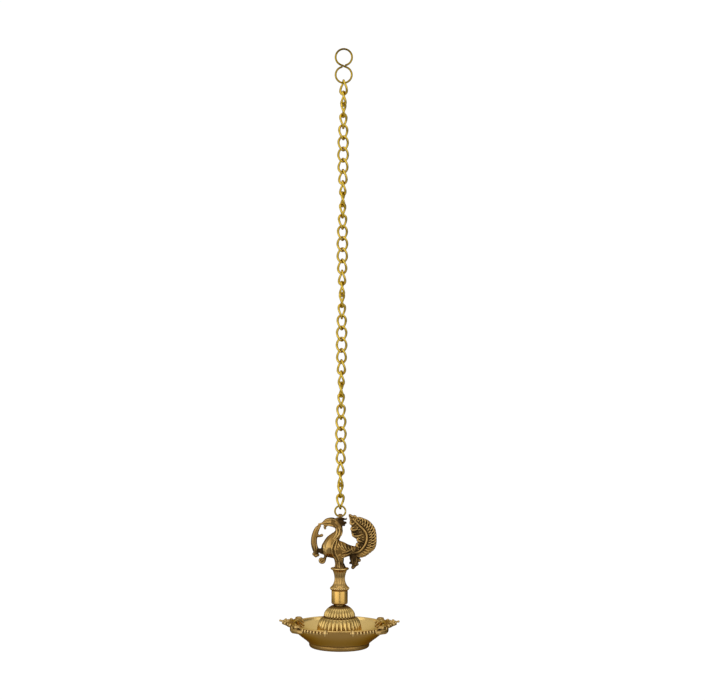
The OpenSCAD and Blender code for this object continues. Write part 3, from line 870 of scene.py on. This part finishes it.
# Dish: a spun bowl on a hollow foot
DISH_STEPS = 192
WALL_STEPS = 28
WALL_FOOT_R = 23.5
WALL_FOOT_UP = 3
WALL_FLARE = 13.2
WALL_HEIGHT = 14.8
WALL_THICKNESS = 2.2
FOOT_CORNER = 2.1
FOOT_GROOVE_SHARE = 0.07
FLOOR_FILLET_TOP = 5.8
SATIN_ABOVE = 5


def dish_side(share):
    """A point of radius and height on the outside of the dish's wall, from its foot to its lip."""
    swing = share ** 0.75
    eased = swing * swing * (3 - 2 * swing)
    return Vector((WALL_FOOT_R + WALL_FLARE * eased, WALL_FOOT_UP + WALL_HEIGHT * share))


def dish_wall(share):
    """A point on the inside of the dish's wall, from its floor to its lip."""
    slope = (dish_side(min(share + 0.01, 1)) - dish_side(max(share - 0.01, 0))).normalized()
    return dish_side(share) + WALL_THICKNESS * Vector((-slope.y, slope.x))


def make_dish():
    outside = [(BORE_R, 3.4), (19.5, 3.4), (19.5, 0.35), (19.85, 0), (21.3, 0)]
    outside += rounding((21.3, FOOT_CORNER), FOOT_CORNER, FOOT_CORNER, range(-75, 1, 15))
    outside += [(23.4, 2.9), (23.35, 3.3), (23.2, 3.5), (23.2, 3.7), (23.35, 3.85)]
    inside = []
    for step in range(WALL_STEPS + 1):
        share = step / WALL_STEPS
        across = dish_wall(share)
        if share > FOOT_GROOVE_SHARE:
            outside.append(tuple(dish_side(share)))
        if across.y > FLOOR_FILLET_TOP:
            inside.append(tuple(across))
    brim = rounding((35.6, 17.8), 1.1, 0.5, [22.5 * step for step in range(1, 8)])
    floor = [(inside[0][0] - 0.5, 5.45), (inside[0][0] - 1.2, 5.4), (BORE_R, 5.4), (BORE_R, 3.4)]
    profile = outside + brim + inside[::-1] + floor
    dish = turned([(reach, FOOT_Z + up) for reach, up in profile], DISH_STEPS)
    keep(dish, "dish_bowl", "lamp", dull_finish, ["oil_dish"])
    dish.data.materials.append(satin_finish)
    for face in dish.data.polygons:
        out = Vector((face.center.x, face.center.y, 0)).dot(face.normal)
        upper = face.center.z > (FOOT_Z + SATIN_ABOVE) * MM
        face.material_index = 1 if upper and (out < 0 or face.normal.z > 0.7) else 0


# Rim ornament: palmettes at the two ends, volutes beside them, bead rows and leaf tips
PALMETTE_EDGE = [
    (-4, 16.2), (-1.6, 13.2), (0.4, 10.6), (2.6, 8.2), (3.4, 5.6), (5.2, 3.0), (6.6, 1.2), (7.4, 0),
]
PALMETTE_ROOT = [(-6, 15.2), (-3.2, 11.5), (-1.7, 6.5), (-1.2, 0)]
PALMETTE_LOBES = ((5.2, 7.5, 1.35), (2.9, 10.2, 0.9), (1.1, 13.0, 1.45))
PALMETTE_SPINE = [
    (-1.2, 0, -1, 0.8), (2.6, 0, -0.5, 1.2), (5.4, 0, -0.2, 1.3), (7.6, 0, 0, 0.75), (9, 0, 0.2, 0.7),
]
PALMETTE_VOXEL = 0.28
SHELL_R = 35.2
SHELL_MIDDLE = 26.8
SHELL_ARCS = 7
SHELL_WALL_STEPS = 24
SHELL_VOXEL = 0.3
VOLUTE_VOXEL = 0.26
ROW_BEADS = 7
ROW_R = 37.4
ROW_UP = -1.4
ROW_START = 42
ROW_SPACING = 4.373
LEAF_TIP_ANGLE = 74
# The four quarters of the rim, each by the end of the dish that it is counted from and its side
QUARTERS = ((0, -1), (0, 1), (180, -1), (180, 1))


def make_shell():
    """Ribs in arcs, one inside the other, that run up the inside of the dish's wall to a palmette."""
    wall = [dish_wall(0.2 + 0.8 * step / SHELL_WALL_STEPS) for step in range(SHELL_WALL_STEPS + 1)]
    arcs = []
    for number in range(SHELL_ARCS):
        reach = 1.3 + 1.9 * number
        arc = []
        for step in range(13):
            turn = math.radians(-84 + 14 * step)
            x = SHELL_MIDDLE + reach * math.cos(turn)
            y = 1.5 * reach * math.sin(turn)
            away = math.hypot(x, y)
            nearest = min(wall, key=lambda point: abs(point.x - away))
            over = 0.9 * max(0.0, min(1.0, (away - 33.6) / 1.6))
            arc.append((x, y, min(FOOT_Z + nearest.y, LIP_Z) - 0.62 + over, 1.05))
        arcs.append(arc)
    return blended(cast(arcs, around=3, along=3), SHELL_VOXEL, 2)


def make_palmette():
    edge = PALMETTE_EDGE + [(x, -y) for x, y in PALMETTE_EDGE[-2::-1]]
    root = [(x, -y) for x, y in PALMETTE_ROOT] + PALMETTE_ROOT[-2::-1]
    leaf = plate(edge + root, 0.8)
    leaf.rotation_euler = (math.radians(-90), 0, 0)
    leaf.location = (0, 0, -1.5)
    apply_place()
    ribs = [PALMETTE_SPINE]
    pips = [bead((9.3, 0, 0.1), 0.95), bead((5.6, 0, 0.2), 1.5)]
    for side in (-1, 1):
        for x, y, radius in PALMETTE_LOBES:
            pips.append(bead((x, y * side, 0), radius))
            ribs.append([
                (-2.4, 0.62 * y * side, -0.9, 0.6),
                (0.4 * x - 0.6, 0.82 * y * side, -0.5, 0.9),
                (x, y * side, -0.2, 0.7 * radius),
            ])
        pips.append(bead((7.0, 2.7 * side, -0.2), 0.95))
        for reach in (3.2, 5.6):
            arc = []
            for step in range(6):
                turn = math.radians(12 + 14 * step)
                aside = side * (1.2 + 1.7 * reach * math.sin(turn))
                arc.append((reach * math.cos(turn) - 3.4, aside, -0.7, 0.5))
            ribs.append(arc)
    palmette = blended(join([leaf, cast(ribs)] + pips), PALMETTE_VOXEL, 2)
    shifted(palmette, (LIP_R, 0, LIP_Z + 0.6), tilt=-math.atan2(1.6, 9.7))
    palmette = join([palmette, make_shell()])
    for name, turn in (("left", math.pi), ("right", 0)):
        twin = shifted(copy(palmette), (0, 0, 0), turn=turn)
        keep(twin, "palmette_" + name, "lamp", rim_finish)
        twin.data.materials.append(satin_finish)
        for face in twin.data.polygons:
            face.material_index = int(face.center.xy.length < SHELL_R * MM)
    bpy.data.objects.remove(palmette)


def on_rim(angle, reach, up, radius):
    """A station of a limb that runs along the rim."""
    turn = math.radians(angle)
    return (reach * math.cos(turn), reach * math.sin(turn), LIP_Z + up, radius)


COIL_STEPS = 12
COIL_SHRINK = 0.75


def coil(middle, across, upward, reach, turns, radius):
    """A spiral that winds in from its outer end, in the plane of two directions."""
    stations = []
    steps = round(COIL_STEPS * turns)
    for step in range(steps + 1):
        turn = math.tau * turns * step / steps
        away = reach * (1 - COIL_SHRINK * step / steps)
        place = Vector(middle) + away * (math.cos(turn) * Vector(across) + math.sin(turn) * Vector(upward))
        stations.append((*place, radius))
    return stations


def make_volutes():
    roll = [on_rim(22.5, 39.2, -1.6, 1.2), on_rim(26, 39.4, -2.6, 1.9), on_rim(31, 38.9, -2.4, 2.1),
            on_rim(37, 38.4, -2.6, 1.8), on_rim(43, 37.6, -2.4, 1.1)]
    sweep = [on_rim(25, 38.2, -0.4, 0.9), on_rim(30, 36.6, -0.2, 1.1), on_rim(36, 36.4, -0.6, 1.1),
             on_rim(42, 36.9, -0.8, 0.7)]
    turn = math.radians(24)
    along = (-math.sin(turn), math.cos(turn), 0)
    end = coil(on_rim(24, 40, -1.9, 0)[:3], along, (0, 0, 1), 2.1, 1.4, 0.75)
    top = on_rim(31.5, 37.6, 0.7, 0)[:3]
    cap_profile = [(0.01, -2.6), (1.9, -2.6), (2.4, -1.4), (2.9, -0.7), (3.1, 0), (2.8, 0.5), (0.01, 0.6)]
    cap = shifted(turned(cap_profile, 32), top)
    eye = coil(Vector(top) + Vector((0, 0, 0.7)), (1, 0, 0), (0, 1, 0), 2.3, 1.5, 0.65)
    scrolls = cast([roll, sweep, end, eye])
    pip = bead(Vector(top) + Vector((0, 0, 0.8)), 0.7)
    volute = blended(join([cap, scrolls, pip]), VOLUTE_VOXEL, 2)
    for number, (across, deep) in enumerate(((1, 1), (1, -1), (-1, 1), (-1, -1)), 1):
        twin = copy(volute)
        twin.scale = (across, deep, 1)
        apply_place()
        close_up(FINE_MERGE_GAP)
        keep(twin, f"volute_{number}", "lamp", rim_finish)
    bpy.data.objects.remove(volute)


def make_rows():
    pips = []
    for end, side in QUARTERS:
        for number in range(ROW_BEADS):
            angle = end + side * (ROW_START + ROW_SPACING * number)
            pips.append(bead(on_rim(angle, ROW_R, ROW_UP, 0)[:3], 1.02, 1.4))
    keep(join(pips), "bead_rows", "lamp", rim_finish)
    tips = []
    for end, side in QUARTERS:
        tip = cast([
            [(35.2, 0, -0.5, 0.9), (36.8, 0, 0.1, 1.3), (38.2, 0, -0.6, 1.35), (38.5, 0, -2.1, 1.1),
             (38.2, 0, -3.3, 0.6)],
            [(35.8, -1.3, -0.8, 0.6), (37.5, -1.4, -0.9, 0.8), (38.1, -1.2, -2.0, 0.6)],
            [(35.8, 1.3, -0.8, 0.6), (37.5, 1.4, -0.9, 0.8), (38.1, 1.2, -2.0, 0.6)],
        ])
        tips.append(shifted(tip, (0, 0, LIP_Z), turn=math.radians(end + side * LEAF_TIP_ANGLE)))
    keep(join(tips), "leaf_tips", "lamp", rim_finish)


# Camera, at the photograph's height and angle
CAMERA_PLACE = (0.0085, -1.261, -0.2326)
CAMERA_TURN = (math.radians(90), math.radians(-0.45), 0)
CAMERA_LENS = 83.08
CAMERA_SENSOR = 36


def make_camera():
    deselect()
    bpy.ops.object.camera_add(location=CAMERA_PLACE, rotation=CAMERA_TURN)
    camera = bpy.context.object
    camera.data.lens = CAMERA_LENS
    camera.data.sensor_width = CAMERA_SENSOR
    scene.camera = camera


# Studio: a pale floor, a white backdrop in a darker room, and three large soft lights
HANG_HEIGHT = 0.35
STUDIO_WIDTH = 8
WHITE = (1, 1, 1, 1)
PAPER = (0.85, 0.85, 0.85, 1)
PAPER_SHADOW = (0.12, 0.12, 0.12, 1)
BACKDROP_LEVEL = 1.03
FILL_LEVEL = 0.35


def ray_kinds(bench):
    """Whether a ray is glossy, and whether it shows the backdrop: seen, mirrored or through glass."""
    seen = bench.node("ShaderNodeLightPath", out=0)
    gloss = bench.node("ShaderNodeLightPath", out=3)
    through = bench.node("ShaderNodeLightPath", out=6)
    return gloss, seen.or_more(gloss).or_more(through)


def make_floor():
    deselect()
    bpy.ops.mesh.primitive_plane_add(size=STUDIO_WIDTH, location=(0, 0, FOOT_Z * MM - HANG_HEIGHT))
    ground = bpy.context.object
    ground.name = "studio_floor"
    apply_place()
    paper = bpy.data.materials.new("studio_paper")
    paper.use_nodes = True
    bench = Bench(paper.node_tree)
    gloss, share = ray_kinds(bench)
    place = bench.node("ShaderNodeTexCoord", out=3)
    away = bench.node("ShaderNodeVectorMath", {"operation": "LENGTH"}, {0: place}, out=1)
    level = stepped(bench, away, 0.9, 1.3, 0.55, 0.25) * gloss + (1 - gloss)
    white = bench.node("ShaderNodeEmission", None, {"Color": WHITE, "Strength": level})
    matt = bench.node("ShaderNodeBsdfDiffuse", None, {"Color": PAPER})
    faint = bench.node("ShaderNodeBsdfDiffuse", None, {"Color": PAPER_SHADOW})
    backdrop = bench.node("ShaderNodeAddShader", None, {0: white, 1: faint})
    mixed = bench.node("ShaderNodeMixShader", None, {0: share, 1: matt, 2: backdrop})
    bench.node("ShaderNodeOutputMaterial", None, {"Surface": mixed})
    ground.data.materials.append(paper)


def make_surround():
    world = bpy.data.worlds.new("studio")
    world.use_nodes = True
    world.cycles.sampling_method = "NONE"
    scene.world = world
    bench = Bench(world.node_tree)
    gloss, share = ray_kinds(bench)
    way = {"Vector": bench.node("ShaderNodeTexCoord", out=0)}
    across, back, up = [bench.node("ShaderNodeSeparateXYZ", None, way, out=axis) for axis in range(3)]
    ceiling = stepped(bench, up, 0.2, 0.55, 0.0, 0.8)
    window = stepped(bench, across, -0.8, -0.45, 0.75, 0.0)
    room = stepped(bench, back, 0.2, 0.5, 0.3, 0.03).or_more(ceiling).or_more(window)
    card = stepped(bench, back, 0.82, 0.9, 0.0, 1.0)
    level = (room + card * (1 - room)) * gloss + BACKDROP_LEVEL * (1 - gloss)
    white = bench.node("ShaderNodeBackground", None, {"Color": WHITE, "Strength": level})
    soft = bench.node("ShaderNodeBackground", None, {"Color": WHITE, "Strength": FILL_LEVEL})
    mixed = bench.node("ShaderNodeMixShader", None, {0: share, 1: soft, 2: white})
    bench.node("ShaderNodeOutputWorld", None, {"Surface": mixed})


# Each light has its place, its size and its power
LIGHTS = (
    ((-0.8, -1.05, -0.15), (1.56, 1.4), 9.5),
    ((0.87, -1.0, -0.15), (1.6, 1.4), 8.0),
    ((0.0, -0.1, 0.85), (1.0, 1.0), 3.0),
)
HIGHEST_AIM = -0.1


def make_lights():
    for place, size, power in LIGHTS:
        deselect()
        bpy.ops.object.light_add(type="AREA", location=place)
        light = bpy.context.object
        light.data.shape = "RECTANGLE"
        light.data.size, light.data.size_y = size
        light.data.energy = power
        light.visible_camera = False
        aim = Vector((0, 0, min(place[2], HIGHEST_AIM))) - Vector(place)
        light.rotation_euler = aim.to_track_quat("-Z", "Y").to_euler()


make_camera()
make_floor()
make_surround()
make_lights()
make_hook()
make_chain()
make_ring()
make_bird()
make_stem()
make_sleeve()
make_dome()
make_dish()
make_palmette()
make_volutes()
make_rows()

for node in ("centre_screw", "seal_washer"):
    solid = bpy.data.objects[node]
    solid.data.materials.clear()
    solid.data.materials.append(sleeve_finish)
